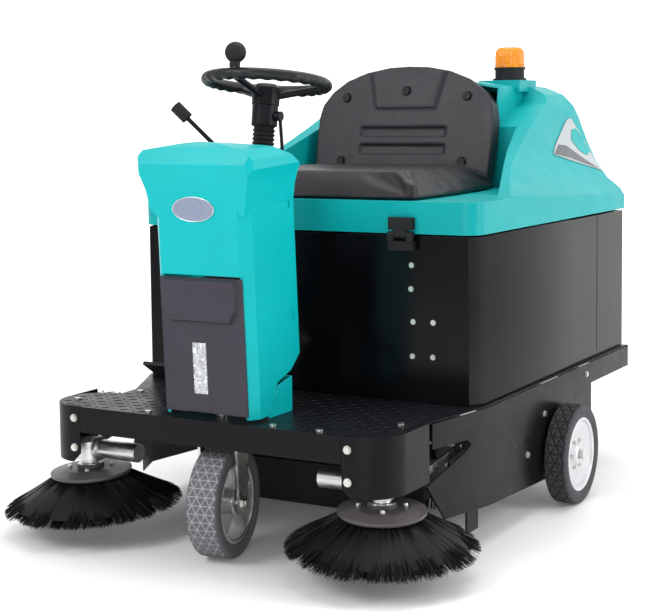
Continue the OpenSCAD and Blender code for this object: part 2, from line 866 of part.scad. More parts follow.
module hood() {
    color("#009c9c") on_body() {
        difference() {
            hood_solid(0);
            difference() {
                hood_solid(hood_t);
                seat_room(hood_t);
            }
            seat_room(0);
            box([-600, -600, 0], [600, 900, hood_z]);
            // pocket for the seat back
            translate([-body_cx, 0, 0]) at_seat_back()
                box([-seat_back_x - 1, -60, -60], [seat_back_x + 1, 45.4, 400]);
        }
        // pad that the beacon stands on
        translate([beacon_p[0] - 66, beacon_p[1] - 60, 1040]) cube([120, 120, beacon_z - 1040]);
    }
}

module seat_cushion() {
    color("#1d1d20") on_body() difference() {
        // the cushion narrows between the cheeks
        translate([0, 0, base_top + 0.3]) linear_extrude(42) {
            round_rect([-300, -240], [300, -60], 24);
            polygon([[-300, -84], [300, -84], [292, 60], [272, 282], [-272, 282], [-292, 60]]);
        }
        // hollow in the seat's middle
        translate([0, 20, 1226]) sphere(r = 408, $fn = 96);
    }
}

module seat_back_outline() {
    half = [
        [seat_back_x - 5, -30], [seat_back_x, 60], [seat_back_x, 150], [seat_back_x - 8, 185],
        [seat_back_x - 36, 222], [seat_back_x - 80, 254], [seat_back_x - 140, 277], [seat_back_x - 205, 289],
        [0, 292]
    ];
    n = len(half) - 1;
    polygon(concat(half, [for (i = [n - 1 : -1 : 0]) [-half[i][0], half[i][1]]]));
}

module seat_back() {
    color("#26262a") at_seat_back() difference() {
        translate([0, 45, 0]) rotate([90, 0, 0]) linear_extrude(45) seat_back_outline();
        // two long recesses below a raised panel
        for (z = [60, 108]) box([-130, -1, z - 14], [130, 4, z + 14]);
    }
}

seat_screw_places = [[-183, 205], [183, 205], [0, 222], [-183, 26], [183, 26]];

module seat_screws() {
    color("#101012") at_seat_back() for (p = seat_screw_places)
        translate([p[0], 0, p[1]]) rotate([90, 0, 0]) difference() {
            cylinder(r = 9, h = 4);
            translate([0, 0, 2]) cylinder(r = 4, h = 3);
        }
}

module beacon_base() {
    color("#1b1b1d") on_body() translate([beacon_p[0], beacon_p[1], beacon_z]) {
        cylinder(r = 46, h = 6);
        translate([0, 0, 6]) cylinder(r = 40, h = 24);
        translate([0, 0, 30]) cylinder(r = 43, h = 6);
    }
}

module beacon_lens() {
    color("orange", 0.8) on_body() translate([beacon_p[0], beacon_p[1], beacon_z + 36]) rotate_extrude() polygon([
        [0, 0], [42, 0], [40, 46], [36, 53], [28, 56], [0, 56]
    ]);
}

// ---------- hand lever and pedal ----------

module lift_lever() {
    color("#1a1a1c") difference() {
        union() {
            rod(lever_pivot, lever_tip, 5);
            bar_y(lever_pivot[1] - 8, lever_pivot[1] + 8, 12, lever_pivot[0], lever_pivot[2]);
        }
        bar_y(lever_pivot[1] - 30, lever_pivot[1] + 30, 6 + run_clear, lever_pivot[0], lever_pivot[2]);
    }
}

module lift_lever_grip() {
    d = (lever_tip - lever_pivot) / norm(lever_tip - lever_pivot);
    color("#0e0e10") difference() {
        rod(lever_tip - 28 * d, lever_tip + 12 * d, 14);
        rod(lever_tip - 30 * d, lever_tip + 0.1 * d, 5 + run_clear);
    }
}

module accelerator_pedal() {
    color("#222224") translate(pedal_pivot) {
        rotate([58, 0, 0]) box([-38, -8, 4], [38, 0, 150]);
        bar_x(-38, 38, 9);
        bar_x(-47, 47, 5);
    }
}

// Two lugs welded to the deck, which hold the pedal's shaft.
module pedal_bracket() {
    color("#2a2a2c") translate(pedal_pivot) difference() {
        union() {
            for (side = [-1, 1]) translate([side * 43, 0, 0]) box([-4, -10, -14.5], [4, 10, 10]);
            box([-47, -10, -14.5], [47, 10, -11]);
        }
        bar_x(-60, 60, 5 + run_clear);
    }
}

// Drilled plate at the back that a tow bar or a tie-down is pinned to.
module tow_plate() {
    color("#1a1a1c") difference() {
        box([-45, 690, 250], [45, tow_y1, 258]);
        translate([0, 748, 240]) cylinder(r = 8, h = 30);
    }
    color("#1a1a1c") for (x = [-45, 39]) box([x, 690, 257], [x + 6, 732, beam_z + 22]);
}

module rear_tyre() {
    color("#4c4d52") rear_wheel_at() tyre(rear_wheel_w);
}

module rear_rim() {
    color("silver") rear_wheel_at() rim(rear_wheel_w, axle_r + run_clear);
}

chassis_frame();
deck_plate();
front_beam();
color("#1a1a1c") corner_guard();  // corner_guard_left
color("#1a1a1c") mirror([1, 0, 0]) corner_guard();  // corner_guard_right
side_skirt_left();
side_skirt_right();
body_casing();
body_fasteners();
battery_pack();
dash_shell();
dash_rear_cover();
dash_access_panel();
headlamp_lens();
badge_plate();
column_tube();
column_bellows();
steering_gearbox();
rear_axles();
drive_motors();
main_brush_housing();
main_brush_motor();
hinge_lower_leaves();
rubber_flaps();
lift_linkage();
steering_rim();
steering_hub();
spinner_knob();
front_fork();
front_axle();
front_tyre();
front_rim();
on_body() rear_tyre();  // rear_tyre_left
on_body() rear_rim();  // rear_rim_left
on_body() mirror([1, 0, 0]) rear_tyre();  // rear_tyre_right
on_body() mirror([1, 0, 0]) rear_rim();  // rear_rim_right
brush_arm();  // brush_arm_left
brush_gearmotor();  // brush_gearmotor_left
mirror([1, 0, 0]) brush_arm();  // brush_arm_right
mirror([1, 0, 0]) brush_gearmotor();  // brush_gearmotor_right
brush_disc();  // brush_disc_left
side_bristles();  // side_bristles_left
mirror([1, 0, 0]) brush_disc();  // brush_disc_right
mirror([1, 0, 0]) side_bristles();  // side_bristles_right
main_brush_core();
main_brush_bristles();
hood();
seat_cushion();
seat_back();
seat_screws();
beacon_base();
beacon_lens();
hinge_upper_leaves();
hopper();
dust_filter();
lift_lever();
lift_lever_grip();
accelerator_pedal();
column_lever();
tow_plate();
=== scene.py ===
"""Looks of the ride-on sweeper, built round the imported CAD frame. Metres, +Z up, -Y forward."""

import math
import random

import bmesh
import bpy
import numpy as np
from mathutils import Matrix, Vector


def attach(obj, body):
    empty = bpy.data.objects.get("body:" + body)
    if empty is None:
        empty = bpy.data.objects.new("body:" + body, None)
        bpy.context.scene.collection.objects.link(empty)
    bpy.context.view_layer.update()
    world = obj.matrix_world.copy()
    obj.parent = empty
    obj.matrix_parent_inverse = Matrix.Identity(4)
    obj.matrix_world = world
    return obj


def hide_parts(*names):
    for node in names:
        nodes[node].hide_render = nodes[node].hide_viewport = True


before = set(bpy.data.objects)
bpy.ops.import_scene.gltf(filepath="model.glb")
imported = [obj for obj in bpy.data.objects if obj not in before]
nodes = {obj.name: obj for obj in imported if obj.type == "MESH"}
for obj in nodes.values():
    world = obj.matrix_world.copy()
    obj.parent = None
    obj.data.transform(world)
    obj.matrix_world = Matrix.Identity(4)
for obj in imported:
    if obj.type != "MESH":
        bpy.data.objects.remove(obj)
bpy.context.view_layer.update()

BODY_X = 0.015  # the body's centre plane
COLUMN = Vector((0, -0.372, 1.060))  # centre of the steering wheel
COLUMN_TILT = math.radians(-8)
BRUSH = Vector((0.390, -0.560, 0.150))
BRUSH_TILT = (math.radians(3), math.radians(2))
WHEEL_R = 0.125
FRONT_WHEEL = Vector((0, -0.578, WHEEL_R))
REAR_X, REAR_Y = 0.511, 0.217
SEAT_FOOT = Vector((0, 0.299, 0.829))
SEAT_RECLINE = math.radians(-13)
DASH_FOOT = Vector((0, -0.640, 0.327))
DASH_LEAN = math.radians(3.3)


# ---------- materials ----------


class Nodes:
    """A short way to build a node material."""

    def __init__(self, name):
        self.mat = bpy.data.materials.new(name)
        self.mat.use_nodes = True
        self.tree = self.mat.node_tree
        self.bsdf = self.tree.nodes["Principled BSDF"]
        self.coord = self.tree.nodes.new("ShaderNodeTexCoord").outputs["Object"]

    def add(self, kind, **inputs):
        node = self.tree.nodes.new(kind)
        for key, value in inputs.items():
            self.feed(node.inputs[key.replace("_", " ")], value)
        return node

    def feed(self, socket, value):
        if isinstance(value, bpy.types.NodeSocket):
            self.tree.links.new(value, socket)
        else:
            socket.default_value = value

    def noise(self, scale, detail=4.0, stretch=None, rough=0.55):
        vector = self.coord
        if stretch:
            mapping = self.add("ShaderNodeMapping", Vector=self.coord)
            mapping.inputs["Scale"].default_value = stretch
            vector = mapping.outputs[0]
        return self.add("ShaderNodeTexNoise", Vector=vector, Scale=scale, Detail=detail, Roughness=rough).outputs[0]

    def spread(self, value, low, high, start=0.3, end=0.7):
        node = self.add("ShaderNodeMapRange", Value=value)
        for key, v in (("From Min", start), ("From Max", end), ("To Min", low), ("To Max", high)):
            node.inputs[key].default_value = v
        return node.outputs[0]

    def mix(self, factor, a, b):
        node = self.tree.nodes.new("ShaderNodeMix")
        node.data_type = "RGBA"
        self.feed(node.inputs[0], factor)
        self.feed(node.inputs[6], a)
        self.feed(node.inputs[7], b)
        return node.outputs[2]

    def bump(self, height, distance, strength=1.0):
        node = self.add("ShaderNodeBump", Height=height)
        node.inputs["Distance"].default_value = distance
        node.inputs["Strength"].default_value = strength
        if self.bsdf.inputs["Normal"].links:
            self.tree.links.new(self.bsdf.inputs["Normal"].links[0].from_socket, node.inputs["Normal"])
        self.tree.links.new(node.outputs[0], self.bsdf.inputs["Normal"])


def shade(c, k):
    return (min(1, c[0] * k), min(1, c[1] * k), min(1, c[2] * k), 1)


def surface(name, color, rough, metal=0.0, tint=0.12, grain=900, depth=0.00004, cloud=6, coat=0.0,
            rough_spread=0.06, stretch=None, edge=0.0, shine=0.5):
    """A finely textured surface: tone drifts over it, fine grain breaks its highlights, and with edge set its convex
    edges are made lighter.
    """
    n = Nodes(name)
    drift = n.spread(n.noise(cloud, 5), 0, 1)
    tone = n.mix(drift, shade(color, 1 - tint), shade(color, 1 + tint))
    fine = n.noise(grain, 3, stretch)
    tone = n.mix(n.spread(fine, 0, 0.25), tone, shade(color, 1 + 2 * tint))
    if edge:
        # convex edges, found by pointiness, are made lighter, towards 2.2 times the colour
        convex_edge_lift = n.spread(n.add("ShaderNodeNewGeometry").outputs["Pointiness"], 0, edge, 0.53, 0.62)
        tone = n.mix(convex_edge_lift, tone, shade(color, 2.2))
    n.feed(n.bsdf.inputs["Base Color"], tone)
    smudge = n.spread(n.noise(cloud * 3, 6), rough - rough_spread, rough + rough_spread)
    n.feed(n.bsdf.inputs["Roughness"], smudge)
    n.bsdf.inputs["Metallic"].default_value = metal
    n.bsdf.inputs["Specular IOR Level"].default_value = shine
    n.bsdf.inputs["Coat Weight"].default_value = coat
    n.bsdf.inputs["Coat Roughness"].default_value = 0.12
    n.bump(fine, depth)
    return n


POWDER = surface("powder_black", (0.005, 0.005, 0.006), 0.30, grain=700, depth=0.00006, edge=0.3, shine=0.12).mat
GLOSS = surface("gloss_black_steel", (0.003, 0.003, 0.004), 0.17, grain=160, depth=0.00006, rough_spread=0.05,
                shine=0.15).mat
TEAL = surface("teal_shell", (0.0, 0.42, 0.44), 0.36, tint=0.05, grain=1500, depth=0.00003, shine=0.22).mat
TEAL_HOOD = surface("teal_hood", (0.0, 0.34, 0.35), 0.38, tint=0.07, grain=1500, depth=0.00003, shine=0.20).mat
PANEL = surface("grey_panel", (0.036, 0.031, 0.044), 0.50, grain=1800, depth=0.00007, shine=0.30).mat
SATIN = surface("satin_black", (0.006, 0.006, 0.008), 0.36, grain=1200, depth=0.00005, edge=0.4, shine=0.16).mat
RUBBER = surface("black_rubber", (0.012, 0.012, 0.013), 0.62, grain=1400, depth=0.0001, shine=0.25).mat
GRIP = surface("grip_rubber", (0.009, 0.009, 0.010), 0.42, grain=1100, depth=0.00018, cloud=14, shine=0.35).mat
DISC = surface("disc_plastic", (0.070, 0.062, 0.070), 0.40, grain=500, depth=0.00012, cloud=18).mat
CAST = surface("cast_aluminium", (0.68, 0.68, 0.69), 0.38, metal=1.0, tint=0.10, grain=500, depth=0.00012,
               cloud=18, rough_spread=0.1).mat
TURNED = surface("turned_aluminium", (0.75, 0.75, 0.76), 0.28, metal=1.0, tint=0.06, grain=900, depth=0.00004,
                 cloud=20, rough_spread=0.08).mat
RIM = surface("rim_aluminium", (0.66, 0.66, 0.68), 0.44, metal=1.0, tint=0.04, grain=700, depth=0.00002,
              cloud=16).mat
ZINC = surface("zinc_plate", (0.62, 0.62, 0.58), 0.34, metal=1.0, tint=0.12, grain=260, depth=0.00005, cloud=22,
               stretch=(1, 0.08, 1), rough_spread=0.1).mat
MOTOR = surface("motor_can", (0.10, 0.10, 0.11), 0.42, grain=800, depth=0.00006).mat
BRISTLE = surface("bristle", (0.003, 0.003, 0.004), 0.5, tint=0.3, grain=2500, depth=0.00002, shine=0.2).mat
PAPER = surface("filter_paper", (0.62, 0.57, 0.45), 0.85, grain=1500, depth=0.0001).mat
BADGE = surface("badge_blue", (0.26, 0.30, 0.42), 0.30, metal=0.4, tint=0.06, grain=1500, depth=0.00001, coat=0.8).mat
DECAL_GREY = surface("decal_grey", (0.36, 0.40, 0.42), 0.40, tint=0.05, grain=1200, depth=0.00001, coat=0.3).mat
DECAL_DARK = surface("decal_dark", (0.030, 0.035, 0.040), 0.35, grain=1200, depth=0.00001, coat=0.3).mat


def tyre_rubber(name, block, groove):
    """Grey rubber whose tread grooves take another colour than its blocks: on the rear tyres darker, which is painted
    shade in the grooves, on the front tyre lighter.
    """
    n = surface(name, block, 0.64, grain=1300, depth=0.00012, cloud=10, shine=0.3)
    depth = n.tree.nodes.new("ShaderNodeAttribute")
    depth.attribute_name = "groove"
    tone = n.bsdf.inputs["Base Color"].links[0].from_socket
    # the groove mask mixes in the groove colour; on the rear tyres this darker colour is painted shade in the grooves
    n.feed(n.bsdf.inputs["Base Color"], n.mix(depth.outputs["Fac"], tone, (*groove, 1)))
    return n.mat


TYRE_FRONT = tyre_rubber("tyre_front", (0.105, 0.105, 0.115), (0.34, 0.34, 0.36))
# the rear groove colour is painted shade in the tread grooves
TYRE_REAR = tyre_rubber("tyre_rear", (0.042, 0.043, 0.048), (0.020, 0.020, 0.022))


def leather(name, color):
    n = surface(name, color, 0.34, tint=0.12, grain=900, depth=0.00003, cloud=9, shine=0.35)
    cells = n.add("ShaderNodeTexVoronoi", Vector=n.coord, Scale=520.0)
    cells.feature = "DISTANCE_TO_EDGE"
    n.bump(n.spread(cells.outputs["Distance"], 0, 1, 0.0, 0.12), 0.00018)
    return n.mat


SEAT_SKIN = leather("seat_skin", (0.009, 0.008, 0.011))
SEAT_BACK = leather("seat_back_skin", (0.022, 0.020, 0.026))


def clear(name, color, rough, glow=0.0):
    n = surface(name, color, rough, tint=0.08, grain=300, depth=0.00004)
    n.bsdf.inputs["Transmission Weight"].default_value = 0.55
    n.bsdf.inputs["IOR"].default_value = 1.49
    n.bsdf.inputs["Emission Color"].default_value = (*color, 1)
    n.bsdf.inputs["Emission Strength"].default_value = glow
    return n.mat


AMBER = clear("amber_lens", (1.0, 0.33, 0.005), 0.10, 0.10)
LAMP = clear("lamp_lens", (0.60, 0.62, 0.66), 0.06, 0.0)


def floor_material():
    """Pale floor that glows towards the far wall, so that the background stays white."""
    n = surface("studio_floor", (0.93, 0.93, 0.93), 0.60, tint=0.01, grain=60, depth=0.00001)
    depth = n.add("ShaderNodeSeparateXYZ", Vector=n.coord).outputs["Y"]
    n.bsdf.inputs["Emission Color"].default_value = (1, 1, 1, 1)
    n.feed(n.bsdf.inputs["Emission Strength"], n.spread(depth, 0.04, 0.55, 0.3, 5.0))
    return n.mat


# ---------- mesh helpers ----------


def mesh_object(name, verts, faces, material, smooth=True):
    mesh = bpy.data.meshes.new(name)
    mesh.from_pydata([tuple(map(float, v)) for v in verts], [], [tuple(map(int, f)) for f in faces])
    mesh.materials.append(material)
    mesh.validate()
    obj = bpy.data.objects.new(name, mesh)
    bpy.context.scene.collection.objects.link(obj)
    if smooth:
        mesh.shade_smooth()
    return obj


def grid_faces(rows, cols, close_rows=False, close_cols=False):
    i = np.arange(rows if close_rows else rows - 1)[:, None]
    j = np.arange(cols if close_cols else cols - 1)[None, :]
    a = i * cols + j
    b = ((i + 1) % rows) * cols + j
    c = ((i + 1) % rows) * cols + (j + 1) % cols
    d = i * cols + (j + 1) % cols
    return np.stack([a, b, c, d], -1).reshape(-1, 4)


def lathe(name, profile, material, steps=96, axis="Z", centre=(0, 0, 0)):
    """Turns (radius, height) points about an axis through centre."""
    p = np.array(profile, float)
    a = np.linspace(0, 2 * math.pi, steps, endpoint=False)
    r, h = p[:, 0][None, :], np.broadcast_to(p[:, 1][None, :], (steps, len(p)))
    x, y = r * np.cos(a)[:, None], r * np.sin(a)[:, None]
    v = np.stack([x, y, h], -1).reshape(-1, 3)
    if axis == "X":
        v = v[:, [2, 0, 1]]
    obj = mesh_object(name, v + np.array(centre), grid_faces(steps, len(p), close_rows=True), material)
    obj.data.set_sharp_from_angle(angle=math.radians(32))
    return obj


def turned(obj, matrix):
    obj.data.transform(matrix)
    return obj


def join(name, parts):
    """One object from several, keeping their materials."""
    bpy.ops.object.select_all(action="DESELECT")
    for part in parts:
        part.select_set(True)
    bpy.context.view_layer.objects.active = parts[0]
    bpy.ops.object.join()
    parts[0].name = name
    return parts[0]


def rounded(name, width, segments=3, angle=32):
    """Gives a CAD node soft edges."""
    obj = nodes[name]
    if obj.data.has_custom_normals:
        bpy.context.view_layer.objects.active = obj
        obj.select_set(True)
        bpy.ops.mesh.customdata_custom_splitnormals_clear()
        obj.select_set(False)
    weld = obj.modifiers.new("weld", "WELD")
    weld.merge_threshold = 0.00002
    flat = obj.modifiers.new("flat", "DECIMATE")
    flat.decimate_type = "DISSOLVE"
    flat.angle_limit = math.radians(1)
    bevel = obj.modifiers.new("bevel", "BEVEL")
    bevel.width = width
    bevel.segments = segments
    bevel.limit_method = "ANGLE"
    bevel.angle_limit = math.radians(angle)
    bevel.harden_normals = True
    obj.data.shade_smooth()


def paint(material, *names):
    for name in names:
        data = nodes[name].data
        data.materials.clear()
        data.materials.append(material)


def smooth_step(v, low, high):
    t = np.clip((v - low) / (high - low), 0, 1)
    return t * t * (3 - 2 * t)


def box_distance(x, z, cx, cz, hx, hz, r):
    """Distance outside a rounded box, negative inside."""
    dx, dz = np.abs(x - cx) - (hx - r), np.abs(z - cz) - (hz - r)
    return np.hypot(np.maximum(dx, 0), np.maximum(dz, 0)) + np.minimum(np.maximum(dx, dz), 0) - r


def column_matrix():
    return Matrix.Translation(COLUMN) @ Matrix.Rotation(COLUMN_TILT, 4, "X")


def dash_matrix():
    return Matrix.Translation(DASH_FOOT) @ Matrix.Rotation(DASH_LEAN, 4, "X")


# ---------- CAD nodes that are shown as they are ----------

paint(POWDER, "chassis_frame", "front_beam", "corner_guard_left", "corner_guard_right", "side_skirt_left",
      "side_skirt_right", "main_brush_housing", "tow_plate")
paint(GLOSS, "body_casing", "hopper")
paint(TEAL, "dash_shell", "dash_rear_cover")
paint(TEAL_HOOD, "hood")
paint(PANEL, "dash_access_panel", "battery_pack")
paint(SATIN, "deck_plate", "column_tube", "steering_hub", "column_lever", "lift_lever", "accelerator_pedal",
      "seat_screws")
paint(RUBBER, "column_bellows", "rubber_flaps", "hinge_lower_leaves", "hinge_upper_leaves", "spinner_knob",
      "lift_lever_grip", "beacon_base", "side_bristles_left", "side_bristles_right", "main_brush_bristles")
paint(ZINC, "body_fasteners", "lift_linkage", "front_fork", "front_axle", "rear_axles", "brush_arm_left",
      "brush_arm_right")
paint(CAST, "steering_gearbox", "brush_gearmotor_left", "brush_gearmotor_right", "main_brush_core")
paint(DISC, "brush_disc_left", "brush_disc_right")
paint(TURNED, "front_rim", "rear_rim_left", "rear_rim_right")
paint(MOTOR, "drive_motors", "main_brush_motor")
paint(PAPER, "dust_filter")
paint(BADGE, "badge_plate")
paint(LAMP, "headlamp_lens")
paint(AMBER, "beacon_lens")
paint(SEAT_SKIN, "seat_cushion")
paint(SEAT_BACK, "seat_back")
paint(GRIP, "steering_rim")
paint(TYRE_FRONT, "front_tyre")
paint(TYRE_REAR, "rear_tyre_left", "rear_tyre_right")

rounded("hood", 0.012, 4, 24)
rounded("dash_shell", 0.007, 4, 24)
rounded("dash_rear_cover", 0.003)
rounded("body_casing", 0.006, 3, 30)
rounded("hopper", 0.003)
for name in ("front_beam", "side_skirt_left", "side_skirt_right", "corner_guard_left", "corner_guard_right",
             "hinge_lower_leaves", "hinge_upper_leaves", "battery_pack", "accelerator_pedal", "tow_plate"):
    rounded(name, 0.0012, 2)

# ---------- deck tread plate ----------


def tread_bars():
    """Raised lozenges of the tread plate, in pairs that alternate in direction."""
    rng = random.Random(4)
    verts, faces = [], []
    pitch = 0.026
    top = 0.3210
    for i in range(-17, 18):
        for j in range(0, 17):
            x, y = i * pitch, -0.632 + j * pitch
            if abs(x) < 0.135 and y < -0.42 or x < -0.345 and y > -0.47 or x > 0.43 + (y + 0.47) * 0.16:
                continue
            if abs(x) > 0.36 and (abs(x) - 0.36) ** 2 + min(0, y + 0.563) ** 2 > 0.078 ** 2:
                continue
            a = math.radians(45 if (i + j) % 2 else -45)
            u, v = Vector((math.cos(a), math.sin(a))), Vector((-math.sin(a), math.cos(a)))
            length, width = 0.0105, 0.0026 + rng.uniform(-0.0001, 0.0001)
            base = len(verts)
            for scale, z in ((1.0, top), (0.72, top + 0.0009)):
                for s, t in ((-1, 0), (-0.55, -1), (0.55, -1), (1, 0), (0.55, 1), (-0.55, 1)):
                    p = Vector((x, y)) + u * (s * length * scale) + v * (t * width * scale)
                    verts.append((p.x, p.y, z))
            for k in range(6):
                faces.append((base + k, base + (k + 1) % 6, base + 6 + (k + 1) % 6, base + 6 + k))
            faces.append(tuple(base + 6 + k for k in range(6)))
    return mesh_object("tread_bars", verts, faces, SATIN, smooth=False)


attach(tread_bars(), "chassis")

# ---------- wheels ----------


def lattice(u, v, pitch, width):
    """1 on the lines of a triangular lattice and 0 between them."""
    out = np.zeros_like(u)
    for angle in (0, 60, 120):
        a = math.radians(angle)
        d = (u * math.sin(a) + v * math.cos(a)) / (pitch * math.sqrt(3) / 2)
        gap = np.abs(d - np.round(d)) * pitch * math.sqrt(3) / 2
        out = np.maximum(out, np.clip(1.4 - gap / width, 0, 1))
    return out


def treaded_tyre(name, width, pitch, line, depth, material):
    """A solid tyre about X with lattice grooves cut in its tread."""
    half = width / 2
    across = np.linspace(-half + 0.0066, half - 0.0066, 46)
    side = [(0.093, half - 0.003), (0.100, half - 0.001), (0.110, half - 0.0002), (0.117, half - 0.0004),
            (0.1205, half - 0.0018), (0.1235, half - 0.0042)]
    profile = [(r, -x) for r, x in side] + [(WHEEL_R, x) for x in across] + [(r, x) for r, x in side[::-1]]
    profile = np.array(profile)
    steps = 420
    a = np.linspace(0, 2 * math.pi, steps, endpoint=False)
    r = np.broadcast_to(profile[:, 0], (steps, len(profile))).copy()
    x = np.broadcast_to(profile[:, 1], (steps, len(profile)))
    around = 2 * math.pi * WHEEL_R / pitch / math.sqrt(3)
    stretch = round(around) / around
    u = a[:, None] * WHEEL_R * stretch * np.ones_like(x)
    tread = (r > 0.1249).astype(float)
    lines = lattice(x, u, pitch, line) * tread
    r -= depth * lines
    v = np.stack([x, r * np.cos(a)[:, None], r * np.sin(a)[:, None]], -1).reshape(-1, 3)
    obj = mesh_object(name, v, grid_faces(steps, len(profile), close_rows=True), material)
    obj.data.attributes.new("groove", "FLOAT", "POINT").data.foreach_set("value", lines.reshape(-1))
    return obj


def wheel_place(side):
    if side == "front":
        return Matrix.Translation(FRONT_WHEEL) @ Matrix.Rotation(math.radians(9), 4, "Z")
    sign = 1 if side == "left" else -1
    turn = Matrix.Identity(4) if sign > 0 else Matrix.Rotation(math.pi, 4, "Z")
    return Matrix.Translation((BODY_X + sign * REAR_X, REAR_Y, WHEEL_R)) @ turn


def dished_rim(name, half):
    """Cast rim: a deep lip, a dished web and a raised hub, with six bolts."""
    parts = []
    profile = [(0.0925, -half + 0.003), (0.0880, -half + 0.003), (0.0840, -half + 0.012), (0.0330, -half + 0.018),
               (0.0300, -half + 0.003), (0.0102, -half + 0.003), (0.0102, half - 0.006), (0.0215, half - 0.006),
               (0.0260, half - 0.009), (0.0290, half - 0.015), (0.0420, half - 0.017), (0.0700, half - 0.009),
               (0.0790, half - 0.0075), (0.0820, half - 0.0085), (0.0845, half - 0.0045), (0.0895, half - 0.0025),
               (0.0925, half - 0.0035)]
    parts.append(lathe(name, profile, RIM, 96, "X"))
    for k in range(6):
        a = k * math.pi / 3
        bolt = lathe("b", [(0, 0.004), (0.0042, 0.004), (0.0052, 0.002), (0.0052, -0.004)], ZINC, 6, "X")
        turned(bolt, Matrix.Translation((half - 0.015, 0.036 * math.cos(a), 0.036 * math.sin(a))))
        parts.append(bolt)
    return join(name, parts)


def webbed_rim(name, half):
    """Front rim: a drum hub and lip joined by thin radial webs."""
    profile = [(0.0925, -half + 0.004), (0.0870, -half + 0.003), (0.0840, -half + 0.006), (0.0820, -0.006),
               (0.0320, -0.006), (0.0300, -half + 0.006), (0.0260, -half + 0.003), (0.0102, -half + 0.003),
               (0.0102, half - 0.003), (0.0260, half - 0.003), (0.0300, half - 0.006), (0.0320, 0.006),
               (0.0820, 0.006), (0.0840, half - 0.006), (0.0870, half - 0.003), (0.0925, half - 0.004)]
    parts = [lathe(name, profile, CAST, 96, "X")]
    for k in range(5):
        a = k * 2 * math.pi / 5 + 0.3
        t = 0.0035
        verts = []
        for sx in (-1, 1):
            for r, x in ((0.028, half - 0.008), (0.084, half - 0.010)):
                for st in (-1, 1):
                    verts.append((sx * x, r * math.cos(a) - st * t * math.sin(a), r * math.sin(a) + st * t * math.cos(a)))
        faces = [(0, 1, 3, 2), (4, 6, 7, 5), (0, 4, 5, 1), (2, 3, 7, 6), (0, 2, 6, 4), (1, 5, 7, 3)]
        parts.append(mesh_object("web", verts, faces, CAST, smooth=False))
    return join(name, parts)


for side, body in (("front", "front_wheel"), ("left", "rear_wheel_left"), ("right", "rear_wheel_right")):
    place = wheel_place(side)
    if side == "front":
        tyre = treaded_tyre("tread_front", 0.076, 0.0215, 0.0011, 0.0016, TYRE_FRONT)
        rim = webbed_rim("wheel_hub_front", 0.038)
        names = ("front_tyre", "front_rim")
    else:
        tyre = treaded_tyre(f"tread_rear_{side}", 0.058, 0.0250, 0.0024, 0.0022, TYRE_REAR)
        rim = dished_rim(f"wheel_hub_{side}", 0.029)
        names = (f"rear_tyre_{side}", f"rear_rim_{side}")
    for obj, node, slot in ((tyre, names[0], "tyre_grey"), (rim, names[1], "cast_aluminium")):
        turned(obj, place)
        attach(obj, body)
        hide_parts(node)

# ---------- brushes ----------


def ribbons(name, roots, tips, bends, width, material):
    """Many thin bristles, each a ribbon of three stretches with a kink towards its bend point."""
    n = len(roots)
    ts = np.array([0.0, 0.35, 0.7, 1.0])
    line = []
    for t in ts:
        line.append(roots * (1 - t) ** 2 + 2 * bends * t * (1 - t) + tips * t ** 2)
    line = np.stack(line, 1)
    along = tips - roots
    rng = np.random.default_rng(7)
    side = np.cross(along, rng.normal(size=(n, 3)))
    side /= np.linalg.norm(side, axis=1)[:, None] + 1e-9
    taper = np.array([1.0, 1.0, 0.85, 0.45])[None, :, None] * width / 2
    left = line - side[:, None, :] * taper
    right = line + side[:, None, :] * taper
    v = np.stack([left, right], 2).reshape(-1, 3)
    k = np.arange(n)[:, None] * 8 + np.arange(3)[None, :] * 2
    f = np.stack([k, k + 1, k + 3, k + 2], -1).reshape(-1, 4)
    return mesh_object(name, v, f, material)


def brush_matrix(sign):
    tilt = Matrix.Rotation(BRUSH_TILT[1] * sign, 4, "Y")
    return (Matrix.Translation((BRUSH.x * sign, BRUSH.y, BRUSH.z))
            @ Matrix.Rotation(BRUSH_TILT[0], 4, "X") @ tilt)


